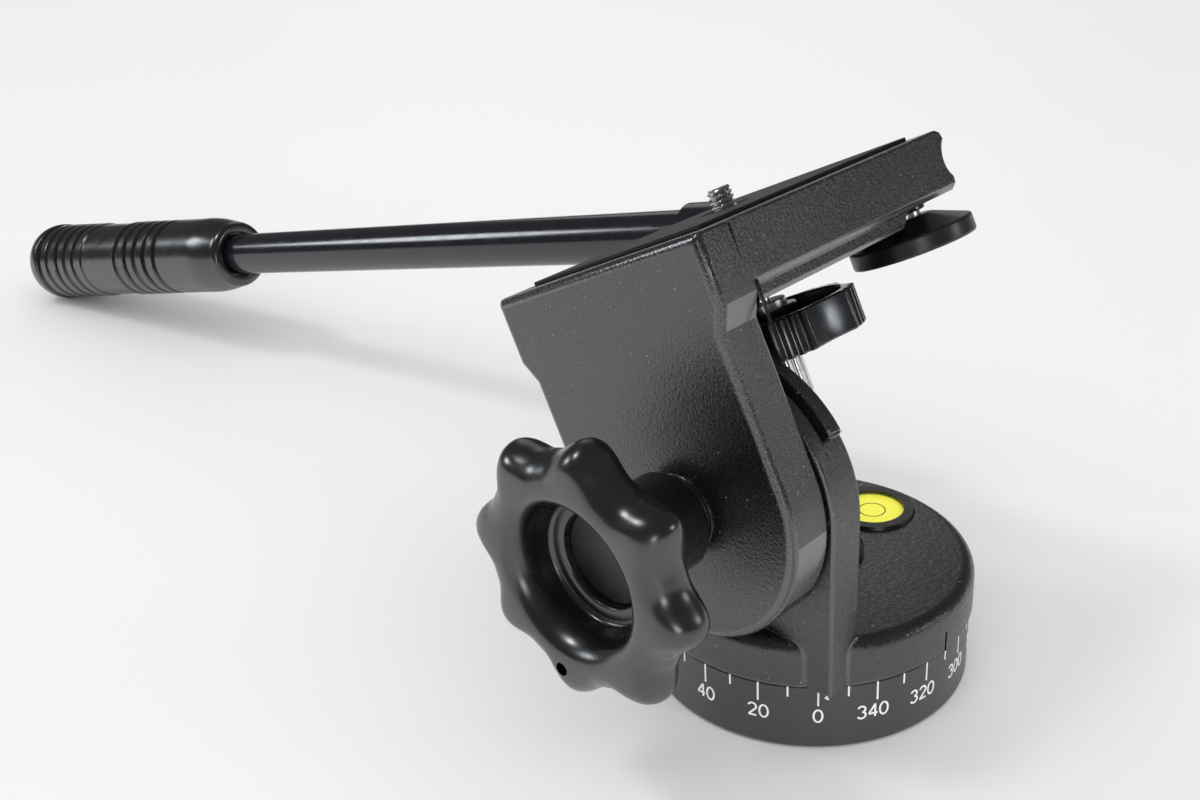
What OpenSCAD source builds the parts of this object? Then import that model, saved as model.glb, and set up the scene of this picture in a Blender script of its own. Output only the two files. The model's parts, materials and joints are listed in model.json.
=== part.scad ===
// Fluid video head: panning base with a degree scale, tilting platform, star knob and a swinging handle.
// Millimetres, +Z up. The origin is the centre of the base's underside, +X is where the lens points,
// +Y runs along the tilt axis from the star knob to the platform's far end, the handle leaves towards -X.

/* [Base] */
// radius of the scale ring
base_r = 42; // [36:0.5:50]
// height of the scale ring
base_h = 18.6; // [16:0.1:22]
// radius of the tripod thread (3/8 in)
tripod_r = 4.763; // [3:0.001:6]
// depth of the tripod thread
tripod_len = 12; // [8:0.5:14]
// radius of the pan spindle
spindle_r = 8; // [7:0.1:9]

/* [Housing] */
// how far the turning housing stands out past the scale ring
housing_proud = 0.7; // [0:0.1:2]
// height of the housing's top face
housing_top = 31.2; // [30.5:0.1:31.5]
// rounding of the housing's top edge
housing_round = 3.5; // [1:0.1:5]
// place of the level along the tilt axis
level_y = 27.6; // [25:0.1:28]
// radius of the yellow vial
vial_r = 8.5; // [7:0.1:9]
// radius of the hub cap
hub_r = 14.6; // [13.5:0.1:15]

/* [Upright] */
// radius of the upright's round top and half its width
upright_r = 33.6; // [33:0.1:38]
// y of the upright's front face
upright_front = -34.9; // [-34.9:0.1:-33]
// y of the upright's back face
upright_back = -24.1; // [-25:0.1:-24]

/* [Tilt] */
// x of the tilt axis
tilt_x = -1.5; // [-2:0.1:0]
// height of the tilt axis
tilt_z = 64.1; // [63.8:0.1:68]
// tilt of the platform as built, front up
tilt_rest = 25.4; // [0:0.1:30]
// radius of the tilt shaft
shaft_r = 6; // [5:0.1:7]

/* [Cheek and platform] */
// y of the cheek's front face
cheek_front = -48.2; // [-52:0.1:-47]
// radius of the cheek's round bottom
cheek_r = 32.5; // [28:0.1:32.5]
// half width of the cheek's top
wide_half = 35.7; // [34.8:0.1:38]
// height of the platform's top above the tilt axis
plat_top = 59.7; // [59:0.1:62]
// half width of the platform's top
plat_half = 36.2; // [35.8:0.1:36.6]
// y of the platform's far end
plat_end = 46.8; // [46:0.1:52]
// thickness of the pad
pad_t = 1; // [0.5:0.1:2]

/* [Camera screw] */
// radius of the camera thread (1/4 in)
stud_r = 3.175; // [3:0.001:3.2]
// how far the camera thread stands above the pad
stud_out = 5.2; // [4:0.1:7]
// y of the camera screw
stud_y = 2.3; // [0:0.1:4]
// radius of the thumbwheel
wheel_r = 23.2; // [18:0.1:24]

/* [Star knob] */
// radius over the lobes
star_r = 32.5; // [30:0.1:34]
// depth of the waves between the lobes
star_wave = 4.5; // [4:0.1:6]
// thickness of the star
star_t = 13; // [13:0.5:16]

/* [Handle] */
// radius of the handle tube
tube_r = 8; // [7:0.1:8.5]
// radius of the grip
grip_r = 16.6; // [15.4:0.1:16.6]
// length of the tube
tube_len = 340; // [320:1:350]
// rise of the handle above the platform's plane
handle_pitch = 13.85; // [13.85:0.01:16]
// swing of the handle about the clamp screw
handle_yaw = 6.61; // [5:0.01:8]
// radius of the clamp knob
clamp_r = 16; // [13:0.1:17]

/* [Hidden] */
$fn = 96;
eps = 0.01;
run = 0.05;
slip = 0.3;
weld = 0.02;
// base and pan bearing
base_wall = 6;
base_floor = 8;
base_boss_r = 15;
base_boss_top = 16;
base_bevel = 1;
glide_t = 0.4;
joint_z = base_h + glide_t;
flange_r = 17;
flange_t = 4;
bush_r = 6;
fix_screw_r = 2;
fix_screw_head = 3.4;
fix_screw_ring = 11;
fix_screw_len = 11;
shelf_z = 25.4;
pocket_r = 12;
pan_thread_r = 5;
pan_washer_t = 1.5;
pan_nut_t = 3.6;
cap_rise = 2.2;
housing_low = joint_z + run;
housing_r = base_r + housing_proud;
cavity_r = housing_r - 5.2;
cavity_top = 25.5;
boss_r = 14;
boss_low = 20;
drag_wall = 3;
drag_gap = 1;
stator_in = 16;
stator_out = base_r - base_wall - 2 * drag_wall - drag_gap;
rotor_in = stator_out + drag_gap;
level_x = 1.75;
level_seat_r = vial_r + 2;
level_flange_r = vial_r + 3;
level_floor = 26.5;
level_rise = 0.9;
window_t = 0.8;
// upright
rim_back = upright_back + 0.3;
rim_proud = 0.8;
rim_from = 36;
slit_front = -30.2;
slit_back = -27.9;
slit_depth = 5;
mark_r = 0.6;
mark_t = 0.3;
mark_x = tilt_x + upright_r - mark_r - 0.4;
mark_y = min(upright_front, -sqrt(max(0, pow(housing_r, 2) - pow(mark_x - mark_r, 2))));
// tilt bearing
cheek_back = upright_front - 0.4;
shaft_from = -71;
tilt_bush_r = 9;
tilt_disc_r = 24;
tilt_disc_t = 1.6;
nut_t = 6;
nut_r = 11;
washer_t = 1.6;
washer_r = 15;
shaft_to = upright_back + washer_t + nut_t + 1;
disc_seat = upright_front - tilt_disc_t - 0.1;
// cheek and platform
edge = 1.4;
wide_low = plat_top - 16.3;
narrow_top = plat_top - 22;
plat_low = plat_top - 14.1;
plate_t = 4.2;
wall = 3.3;
rail_low = 40.5;
rail_end = 25.5;
lip = 3;
strip = 1.5;
low_half = plat_half - 0.7;
rail_out = low_half - strip;
rail_in = rail_out - 3.5;
rail_bevel = 1;
rail_slant = 3;
corner = 2.4;
// right half of the platform's section, from the top edge down the side, the strip and the rail
half_section = [[plat_half, plat_top], [low_half, plat_low], [rail_out, plat_low - strip],
  [rail_out, rail_low + rail_bevel], [rail_out - rail_bevel, rail_low], [rail_in, rail_low],
  [rail_in, plat_low - strip]];
groove_r = 6;
pad_half = 29.6;
pad_near = -39.5;
pad_far = 41;
screw_boss_r = 10;
screw_boss_low = 47;
keeper_r = 6.5;
keeper_t = 1;
// camera screw
wheel_low = 22.4;
wheel_t = 10;
wheel_wall = 3.2;
wheel_web = 2.6;
rib_groups = 6;
rib_first = -36.5;
rib_step = 7;
scoop_r = 30;
scoop_deep = 2;
stem_r = 5.2;
stem_low = 9.5;
stem_top = wheel_low + wheel_t + 0.8;
flutes = 14;
stem_flange_r = 6.4;
wheel_hub_r = 8.5;
stem_flange_t = 2;
shank_r = stud_r - 0.5;
stud_tip = 0.6;
// star knob
star_low = -85.8;
star_turn = -5;
lobes = 8;
star_front = 6;
star_back = 5;
star_draw = 0.81;
lobe_power = 1.56;
collar_r = 12;
collar_end_r = 9.2;
collar_bevel = 3.5;
insert_r = 8;
recess_r = 16;
recess_flare = 4;
recess_deep = 8.5;
recess_step = 4;
step_r = 11.5;
disc_t = 1.6;
thrust_t = 0.6;
lobe_hole_r = 1.2;
lobe_hole_at = 24.3;
lobe_hole_turn = star_turn - 93;
// clamp and handle
clamp_x = 24.5;
clamp_y = 36.2;
clamp_low = 33.2;
clamp_rim = 4.7;
clamp_top = 41.4;
clamp_sides = 10;
clamp_washer_r = 4.4;
clamp_hub_r = 7;
clamp_screw_r = 3;
clamp_screw_low = clamp_low + 1.5;
clamp_screw_top = plat_top - 3.5;
clamp_washer_t = 1.3;
clamp_boss_r = 7.8;
strap_low = clamp_top + clamp_washer_t + run;
strap_top = plat_low - run;
strap_w = 10;
eye_r = 5.8;
cup_at = [-40, 53.51, 49.02];
strap_turn = atan2(cup_at[1] - clamp_y, clamp_x - cup_at[0]);
strap_len = norm([cup_at[1] - clamp_y, clamp_x - cup_at[0]]) + 1.5;
block_from = -1.5;
socket_r = tube_r + 2;
socket_len = 22;
post_out = 5;
post_len = 8;
post_h = 9;
spigot_len = 36;
tube_wall = 1.3;
tube_in = 3;
pin_r = 1.5;
pin_at = 13;
tube_cover = 97;
grip_from = tube_in + tube_len - tube_cover;
grip_len = 144;
mouth_gap = 1.1;
mouth_deep = 4;
neck_at = 27;
ribs_at = 35;
band_at = 70;
band_deep = 0.6;
ribs_n = 5;
cap_len = 14;
grip_end = grip_len - cap_len;
grip_neck_r = 15.2;
cap_round = 12;
rib_h = 1.3;
rib_pitch = 7;
tail_at = grip_end - ribs_n * rib_pitch + 0.5;
band_len = tail_at - 0.5 - band_at;

// ring between two radii from z0 up to z1
module ring(r_out, r_in, z0, z1) {
  rotate_extrude() polygon([[r_in, z0], [r_out, z0], [r_out, z1], [r_in, z1]]);
}

// the platform's own frame: X along the platform, Y along the tilt axis, Z above the axis
module tilted() {
  translate([tilt_x, 0, tilt_z]) rotate([0, -tilt_rest, 0]) children();
}

// things round the tilt axis: local Z runs along +Y
module on_tilt_axis() {
  translate([tilt_x, 0, tilt_z]) rotate([-90, 0, 0]) children();
}

// the handle's frame inside the platform's: local Z runs along the tube towards the grip
module on_handle() {
  tilted() translate(cup_at) rotate([0, -handle_pitch, 180 + handle_yaw]) rotate([0, 90, 0]) children();
}

// the clamp screw's frame inside the platform's
module on_clamp() {
  tilted() translate([clamp_x, clamp_y, 0]) children();
}

// base
module scale_base() {
  color([0.1, 0.1, 0.11]) difference() {
    rotate_extrude() polygon([[flange_r + run, 0], [base_r - base_bevel, 0], [base_r, base_bevel],
      [base_r, base_h], [base_r - base_wall, base_h], [base_r - base_wall, base_floor],
      [base_boss_r, base_floor], [base_boss_r, base_boss_top], [spindle_r + run, base_boss_top],
      [spindle_r + run, flange_t], [flange_r + run, flange_t]]);
    fix_places() translate([0, 0, flange_t - eps]) cylinder(r = fix_screw_r + run, h = fix_screw_len);
  }
}

module fix_places() {
  for (k = [0:2]) rotate(120 * k + 30) translate([fix_screw_ring, 0, 0]) children();
}

module glide_ring() {
  color([0.62, 0.52, 0.34]) ring(base_r - 0.2, cavity_r, base_h, joint_z);
}

module pan_spindle() {
  color([0.7, 0.7, 0.72]) difference() {
    rotate_extrude() polygon([[0, 0], [flange_r, 0], [flange_r, flange_t], [spindle_r, flange_t],
      [spindle_r, shelf_z], [pan_thread_r, shelf_z], [pan_thread_r, housing_top], [0, housing_top]]);
    translate([0, 0, -eps]) cylinder(r = bush_r + run, h = tripod_len + run);
    fix_places() {
      translate([0, 0, -eps]) cylinder(r = fix_screw_r + run, h = flange_t + 1);
      translate([0, 0, -eps]) cylinder(r = fix_screw_head + run, h = 2);
    }
  }
}

module tripod_bush() {
  color([0.75, 0.6, 0.3]) ring(bush_r, tripod_r, 0, tripod_len);
}

module spindle_screws() {
  color([0.6, 0.6, 0.62]) fix_places() {
    translate([0, 0, 0.2]) cylinder(r = fix_screw_head, h = 1.7);
    translate([0, 0, 1.9 - eps]) cylinder(r = fix_screw_r, h = fix_screw_len - 1.5);
  }
}

module pan_stator() {
  color([0.5, 0.5, 0.52]) rotate_extrude() polygon([[stator_in, base_floor],
    [base_r - base_wall - 0.5, base_floor], [base_r - base_wall - 0.5, base_floor + drag_wall],
    [stator_out, base_floor + drag_wall], [stator_out, cavity_top - drag_wall - drag_gap],
    [stator_out - drag_wall, cavity_top - drag_wall - drag_gap],
    [stator_out - drag_wall, base_floor + drag_wall], [stator_in, base_floor + drag_wall]]);
}

module pan_washer() {
  color([0.7, 0.7, 0.72]) ring(pocket_r - 1, pan_thread_r + run, shelf_z, shelf_z + pan_washer_t);
}

module pan_nut() {
  color([0.65, 0.65, 0.67]) translate([0, 0, shelf_z + pan_washer_t]) difference() {
    cylinder(r = pocket_r - 3, h = pan_nut_t, $fn = 6);
    translate([0, 0, -eps]) cylinder(r = pan_thread_r + run, h = pan_nut_t + 1);
  }
}

// turntable
module pan_housing() {
  color([0.12, 0.12, 0.13]) difference() {
    union() {
      housing_drum();
      upright();
    }
    translate([level_x, level_y, 0]) cylinder_up(level_seat_r + run, level_floor, housing_top + 1);
    on_tilt_axis() cylinder_up(shaft_r + run, upright_front - 1, rim_back + 1);
  }
}

module housing_drum() {
  bend = [for (k = [0:8]) [housing_r - housing_round + housing_round * cos(90 - 11.25 * k),
    housing_top - housing_round + housing_round * sin(90 - 11.25 * k)]];
  rotate_extrude() polygon(concat([[spindle_r + run, boss_low], [spindle_r + run, shelf_z - run],
    [pocket_r, shelf_z - run], [pocket_r, housing_top]], bend, [[housing_r, housing_low],
    [cavity_r, housing_low], [cavity_r, cavity_top], [boss_r, cavity_top], [boss_r, boss_low]]));
}

// flat wall with a round top about the tilt axis, a slit and a rim behind it that stands out a little
module upright() {
  difference() {
    upright_wall(upright_front, upright_back);
    drum_room();
    on_tilt_axis() rim_arc(upright_r + 1, upright_r - slit_depth, slit_front, slit_back);
  }
  on_tilt_axis() rim_arc(upright_r + rim_proud, upright_r - 2, slit_back, rim_back);
}

module upright_wall(y0, y1) {
  on_tilt_axis() translate([0, 0, y0]) cylinder(r = upright_r, h = y1 - y0);
  translate([tilt_x - upright_r, y0, housing_low]) cube([2 * upright_r, y1 - y0, tilt_z - housing_low]);
}

// the drum's cavity, kept free of the upright
module drum_room() {
  cylinder_up(cavity_r + weld, housing_low - 1, cavity_top + weld);
}

module rim_arc(r_out, r_in, y0, y1) {
  translate([0, 0, y0]) rotate(-180 + rim_from) rotate_extrude(angle = 180 - 2 * rim_from)
    polygon([[r_in, 0], [r_out, 0], [r_out, y1 - y0], [r_in, y1 - y0]]);
}

module pan_rotor() {
  color([0.55, 0.55, 0.57]) rotate_extrude() polygon([[boss_r + 1, cavity_top - drag_wall],
    [rotor_in, cavity_top - drag_wall], [rotor_in, base_floor + drag_wall + drag_gap],
    [rotor_in + drag_wall, base_floor + drag_wall + drag_gap],
    [rotor_in + drag_wall, cavity_top - drag_wall], [cavity_r - 1, cavity_top - drag_wall],
    [cavity_r - 1, cavity_top], [boss_r + 1, cavity_top]]);
}

module hub_cap() {
  color([0.11, 0.11, 0.12]) difference() {
    rotate_extrude() polygon([[0, housing_top], [hub_r, housing_top], [hub_r, housing_top + cap_rise - 1],
      [hub_r - 1, housing_top + cap_rise], [0, housing_top + cap_rise]]);
    translate([0, 0, housing_top - eps]) cylinder(r = pocket_r, h = 1);
  }
}

module level_bezel() {
  color([0.05, 0.05, 0.05]) translate([level_x, level_y, 0]) rotate_extrude() polygon([
    [vial_r + run, level_floor], [level_seat_r, level_floor], [level_seat_r, housing_top],
    [level_flange_r, housing_top],
    [level_flange_r - 0.4, housing_top + level_rise], [vial_r + run, housing_top + level_rise]]);
}

module level_vial() {
  color([0.8, 0.85, 0.1]) translate([level_x, level_y, level_floor])
    cylinder(r = vial_r, h = housing_top - level_floor - 0.2);
}

module level_window() {
  color([0.9, 0.95, 0.7]) translate([level_x, level_y, housing_top - 0.2])
    cylinder(r = vial_r, h = window_t);
}

module index_mark() {
  color([0.95, 0.95, 0.95]) translate([mark_x, mark_y, housing_low])
    rotate([90, 0, 0]) linear_extrude(mark_t) polygon([[-mark_r, 0], [mark_r, 0], [0, 1.5 * mark_r]]);
}

// tilt bearing
module tilt_shaft() {
  color([0.68, 0.68, 0.7]) on_tilt_axis() cylinder_up(shaft_r, shaft_from, shaft_to);
}

module tilt_washer() {
  color([0.7, 0.7, 0.72]) on_tilt_axis()
    ring(washer_r, shaft_r + run, upright_back, upright_back + washer_t);
}

module tilt_nut() {
  color([0.62, 0.62, 0.64]) on_tilt_axis() translate([0, 0, upright_back + washer_t]) difference() {
    cylinder(r = nut_r, h = nut_t, $fn = 6);
    translate([0, 0, -eps]) cylinder(r = shaft_r + run, h = nut_t + 1);
  }
}

module tilt_disc() {
  color([0.25, 0.2, 0.16]) on_tilt_axis()
    ring(tilt_disc_r, shaft_r + 3.5, upright_front - tilt_disc_t, upright_front);
}

// tilting casting
module tilt_casting() {
  color([0.12, 0.12, 0.13]) difference() {
    union() {
      tilted() cheek();
      tilted() platform();
    }
    on_tilt_axis() {
      cylinder_up(tilt_bush_r + run, cheek_front - 1, cheek_back + 1);
      cylinder_up(tilt_disc_r + slip, disc_seat, cheek_back + 1);
    }
    tilted() translate([0, stud_y, 0]) {
      cylinder(r = shank_r + run, h = plat_top + 1);
      translate([0, 0, plat_top - keeper_t]) cylinder(r = keeper_r + run, h = 5);
    }
    on_clamp() cylinder(r = clamp_screw_r + run, h = clamp_screw_top + 0.5);
  }
}

// the cheek's two flat blocks with bevelled front edges
module cheek() {
  hull() {
    cheek_top(0, cheek_front + edge);
    cheek_top(edge, cheek_front);
  }
  hull() {
    cheek_low(0, cheek_front + edge);
    cheek_low(edge, cheek_front);
  }
}

module cheek_top(inset, y0) {
  translate([0, cheek_back, 0]) rotate([90, 0, 0]) linear_extrude(cheek_back - y0)
    polygon([[-wide_half + inset, plat_top - inset], [wide_half - inset, plat_top - inset],
      [wide_half - inset, wide_low], [cheek_r - inset, narrow_top], [-cheek_r + inset, narrow_top],
      [-wide_half + inset, wide_low]]);
}

module cheek_low(inset, y0) {
  translate([0, cheek_back, 0]) rotate([90, 0, 0]) linear_extrude(cheek_back - y0) {
    circle(r = cheek_r - inset);
    translate([-cheek_r + inset, 0]) square([2 * (cheek_r - inset), narrow_top + 1]);
  }
}

// hollow platform: top plate, side walls with rails below, bosses, a grooved far end with a blunt top corner
module platform() {
  difference() {
    translate([0, plat_end, 0]) rotate([90, 0, 0]) linear_extrude(plat_end - cheek_back + 2)
      platform_section();
    block(-plat_half + wall, plat_half - wall, cheek_back + 2, plat_end - wall - lip,
      plat_low - strip - 1, plat_top - plate_t);
    far_room();
    end_groove();
    across() polygon([[plat_end + 1, plat_top + 1], [plat_end - corner, plat_top + 1],
      [plat_end - corner, plat_top], [plat_end - 0.3 * corner, plat_top - 0.3 * corner],
      [plat_end, plat_top - corner], [plat_end + 1, plat_top - corner]]);
    across() polygon([[rail_end - rail_slant, rail_low - 1], [plat_end + 1, rail_low - 1],
      [plat_end + 1, plat_low - strip + 0.05], [rail_end, plat_low - strip + 0.05]]);
  }
  translate([0, stud_y, screw_boss_low]) cylinder(r = screw_boss_r, h = plat_top - screw_boss_low - 1);
  translate([clamp_x, clamp_y, plat_low]) cylinder(r = clamp_boss_r, h = plat_top - plat_low - 1);
  block(-plat_half + 1, plat_half - 1, stud_y - 1.5, stud_y + 1.5, screw_boss_low + 3, plat_top - 1);
}

module platform_section() {
  mirrored = [for (k = [len(half_section) - 1:-1:0]) [-half_section[k][0], half_section[k][1]]];
  polygon(concat(half_section, mirrored));
}

// a flat shape in (y, z) carried across the whole width of the platform
module across() {
  translate([-plat_half - 3, 0, 0]) rotate([90, 0, 90]) linear_extrude(2 * plat_half + 6) children();
}

// room under the far end for the handle's strap, open to the back and the far side
module far_room() {
  block(-plat_half - 2, plat_half - wall - 0.1, rail_end, plat_end + 1, plat_low - strip - 1,
    plat_low + 0.3);
}

module block(x0, x1, y0, y1, z0, z1) {
  translate([x0, y0, z0]) cube([x1 - x0, y1 - y0, z1 - z0]);
}

// the finger groove across the far end
module end_groove() {
  translate([-plat_half - 2, plat_end + groove_r - 2.2, (plat_top + plat_low) / 2 - 0.5]) rotate([0, 90, 0])
    cylinder(r = groove_r, h = 2 * plat_half + 4);
}

module tilt_bush() {
  color([0.7, 0.55, 0.28]) on_tilt_axis() ring(tilt_bush_r, shaft_r + run, cheek_front, disc_seat);
}

module platform_pad() {
  color([0.07, 0.07, 0.07]) tilted() difference() {
    block(-pad_half, pad_half, pad_near, pad_far, plat_top, plat_top + pad_t);
    translate([0, stud_y, plat_top - 1]) cylinder(r = keeper_r + 0.5, h = pad_t + 2);
  }
}

module stud_keeper() {
  color([0.2, 0.2, 0.2]) tilted() translate([0, stud_y, 0])
    ring(keeper_r, shank_r + run, plat_top - keeper_t, plat_top);
}

// camera screw
module camera_stud() {
  tip = plat_top + pad_t + stud_out - stud_tip;
  color([0.8, 0.8, 0.82]) tilted() translate([0, stud_y, 0]) {
    difference() {
      translate([0, 0, stem_low]) cylinder(r = stem_r, h = stem_top - stem_low);
      for (k = [0:flutes - 1]) rotate(360 / flutes * k) translate([stem_r + 0.25, 0, stem_low - 1])
        cylinder(r = 0.7, h = wheel_low - stem_low - 0.2, $fn = 8);
    }
    translate([0, 0, stem_top]) cylinder(r = stem_flange_r, h = stem_flange_t);
    cylinder_up(shank_r, stem_top + stem_flange_t, plat_top + pad_t);
    cylinder_up(stud_r, plat_top + pad_t, tip);
    translate([0, 0, tip]) cylinder(r1 = stud_r, r2 = stud_r - stud_tip, h = stud_tip);
  }
}

module cylinder_up(r, z0, z1) {
  translate([0, 0, z0]) cylinder(r = r, h = z1 - z0);
}

module camera_wheel() {
  color([0.06, 0.06, 0.06]) tilted() translate([0, stud_y, wheel_low]) difference() {
    union() {
      difference() {
        cylinder(r = wheel_r, h = wheel_t);
        translate([0, 0, wheel_web]) cylinder(r = wheel_r - wheel_wall, h = wheel_t);
        wheel_ribs();
        wheel_scoops();
      }
      cylinder(r = wheel_hub_r, h = stem_top - wheel_low);
    }
    translate([0, 0, -1]) cylinder(r = stem_r + run / 2, h = wheel_t + 4);
  }
}

// groups of three grooves round the wheel
module wheel_ribs() {
  for (g = [0:rib_groups - 1]) {
    for (k = [-1:1]) rotate(rib_first + 360 / rib_groups * g + rib_step * k)
      translate([wheel_r + 0.5, 0, -1]) cylinder(r = 1.3, h = wheel_t + 2, $fn = 10);
  }
}

// shallow hollows between the groups
module wheel_scoops() {
  for (g = [0:rib_groups - 1]) rotate(rib_first + 360 / rib_groups * (g + 0.5))
    translate([wheel_r + scoop_r - scoop_deep, 0, -1]) cylinder(r = scoop_r, h = wheel_t + 2);
}

// star knob
module star_knob() {
  color([0.06, 0.06, 0.06]) on_tilt_axis() difference() {
    union() {
      star_body();
      collar();
    }
    cylinder_up(recess_r, star_low - 1, star_low + recess_deep);
    translate([0, 0, star_low - weld])
      cylinder(r1 = recess_r + recess_flare, r2 = recess_r - weld, h = recess_flare + weld);
    cylinder_up(step_r, star_low, star_low + recess_deep + recess_step);
    cylinder_up(insert_r + run / 2, star_low, cheek_front);
    rotate(-lobe_hole_turn) translate([lobe_hole_at, 0, star_low - 1]) cylinder(r = lobe_hole_r, h = 8);
  }
}

// neck behind the star, bevelled where it meets the washer
module collar() {
  top = cheek_front - thrust_t - run;
  rotate_extrude() polygon([[0, star_low + star_t - 1], [collar_r, star_low + star_t - 1],
    [collar_r, top - collar_bevel], [collar_end_r, top], [0, top]]);
}

// wavy outline with both edges drawn in
module star_body() {
  mid = star_t - star_front - star_back;
  translate([0, 0, star_low + star_front]) {
    linear_extrude(mid) star_outline();
    mirror([0, 0, 1]) linear_extrude(star_front, scale = star_draw) star_outline();
    translate([0, 0, mid]) linear_extrude(star_back, scale = star_draw) star_outline();
  }
}

// narrow lobes with wide hollows between them
module star_outline() {
  polygon([for (k = [0:3:357]) star_at(k) * [cos(k), sin(k)]]);
}

function star_at(k) =
  star_r - star_wave + star_wave * pow((1 + cos(lobes * (k + star_turn))) / 2, lobe_power);

module knob_insert() {
  color([0.75, 0.6, 0.3]) on_tilt_axis()
    ring(insert_r, shaft_r + run, star_low + recess_deep + recess_step + disc_t, cheek_front - thrust_t - 1);
}

module knob_disc() {
  color([0.05, 0.05, 0.05]) on_tilt_axis() translate([0, 0, star_low + recess_deep + recess_step - disc_t])
    cylinder(r = step_r - run, h = disc_t);
}

module thrust_washer() {
  color([0.7, 0.7, 0.72]) on_tilt_axis()
    ring(collar_end_r, shaft_r + run, cheek_front - thrust_t - run, cheek_front - run);
}

// handle clamp
module clamp_knob() {
  color([0.08, 0.08, 0.08]) on_clamp() difference() {
    union() {
      cylinder_up(clamp_r, clamp_low, clamp_low + clamp_rim);
      translate([0, 0, clamp_low + clamp_rim - weld])
        cylinder(r1 = clamp_r - 0.3, r2 = clamp_hub_r, h = clamp_top - clamp_low - clamp_rim + weld,
          $fn = clamp_sides);
    }
    cylinder_up(clamp_screw_r + run / 2, clamp_screw_low, clamp_top + 1);
  }
}

module clamp_screw() {
  color([0.8, 0.8, 0.82]) on_clamp() cylinder_up(clamp_screw_r, clamp_screw_low, clamp_screw_top);
}

module clamp_washer() {
  color([0.8, 0.8, 0.82]) on_clamp()
    ring(clamp_washer_r, clamp_screw_r + run, clamp_top, clamp_top + clamp_washer_t);
}

// handle: strap with an eye, a post at its end and a socket with a spigot for the tube
module handle_arm() {
  color([0.1, 0.1, 0.11]) difference() {
    union() {
      difference() {
        union() {
          strap();
          on_handle() cylinder_up(socket_r, block_from, socket_len);
        }
        on_handle() cylinder_up(tube_r + run / 2, tube_in, socket_len + 1);
      }
      on_handle() cylinder_up(tube_r - tube_wall - run / 2, 0, spigot_len);
    }
    on_clamp() cylinder_up(clamp_screw_r + run, strap_low - 1, strap_top + 1);
    pin_line(pin_r + run / 2, 4 * tube_r);
  }
}

module strap() {
  on_clamp() {
    cylinder_up(eye_r, strap_low, strap_top);
    rotate(-strap_turn) translate([-strap_len, -strap_w / 2, strap_low])
      cube([strap_len, strap_w, strap_top - strap_low]);
    rotate(-strap_turn) translate([-strap_len - post_out, -strap_w / 2 + 0.5, strap_low])
      cube([post_len, strap_w - 1, post_h]);
  }
}

module pin_line(r, len) {
  on_handle() translate([0, 0, pin_at]) rotate([90, 0, 0]) cylinder(r = r, h = len, center = true);
}

module handle_tube() {
  color([0.09, 0.09, 0.1]) difference() {
    on_handle() ring(tube_r, tube_r - tube_wall, tube_in, tube_in + tube_len);
    pin_line(pin_r + run / 2, 3 * tube_r);
  }
}

module handle_pin() {
  color([0.7, 0.7, 0.72]) pin_line(pin_r, 2 * socket_r - 0.4);
}

// grip profile: collar, smooth neck, ribs, smooth band, ribs
module handle_grip() {
  color([0.07, 0.07, 0.07]) on_handle() translate([0, 0, grip_from]) rotate_extrude() polygon(concat(
    [[tube_r + run / 2, mouth_deep], [tube_r + mouth_gap, mouth_deep], [tube_r + mouth_gap, 0],
      [tube_r + 2.2, 0], [tube_r + 3.8, 2.5], [grip_neck_r - 1.6, neck_at / 2],
      [grip_neck_r, neck_at]],
    grip_ribs(ribs_at, ribs_n), grip_band(), grip_ribs(tail_at, ribs_n),
    [[grip_r, grip_end], [tube_r + run / 2, grip_end]]));
}

// the grip's radius grows evenly from its neck to its end
function grip_at(s) =
  grip_neck_r + (grip_r - grip_neck_r) * (s - neck_at) / (grip_end - neck_at);

// smooth band between the two groups of ribs
function grip_band() = [for (p = [[0, 0], [1, band_deep], [band_len - 1, band_deep], [band_len, 0]])
  [grip_at(band_at + p[0]) - p[1], band_at + p[0]]];

function grip_ribs(from, count) = [for (k = [0:count - 1])
  for (p = [[0, 0], [3, 0], [4, -rib_h], [6.2, -rib_h]])
    [grip_at(from + rib_pitch * k) + p[1], from + rib_pitch * k + p[0]]];

module grip_cap() {
  color([0.07, 0.07, 0.07]) on_handle() translate([0, 0, grip_from + grip_end]) rotate_extrude()
    polygon(concat([[0, 0]], [for (k = [0:9]) [grip_r - cap_round + cap_round * cos(10 * k),
      cap_len - cap_round + cap_round * sin(10 * k)]], [[0, cap_len]]));
}

scale_base();
glide_ring();
pan_spindle();
tripod_bush();
spindle_screws();
pan_stator();
pan_washer();
pan_nut();
pan_housing();
pan_rotor();
hub_cap();
level_bezel();
level_vial();
level_window();
index_mark();
tilt_shaft();
tilt_washer();
tilt_nut();
tilt_disc();
tilt_casting();
tilt_bush();
platform_pad();
stud_keeper();
camera_stud();
camera_wheel();
star_knob();
knob_insert();
knob_disc();
thrust_washer();
clamp_knob();
clamp_screw();
clamp_washer();
handle_arm();
handle_tube();
handle_pin();
handle_grip();
grip_cap();
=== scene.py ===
"""Looks of the fluid video head: shaped pieces, paint, plastic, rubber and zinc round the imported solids, in metres."""
import json
import math

import bmesh
import bpy
import numpy as np
from mathutils import Matrix, Vector


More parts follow.
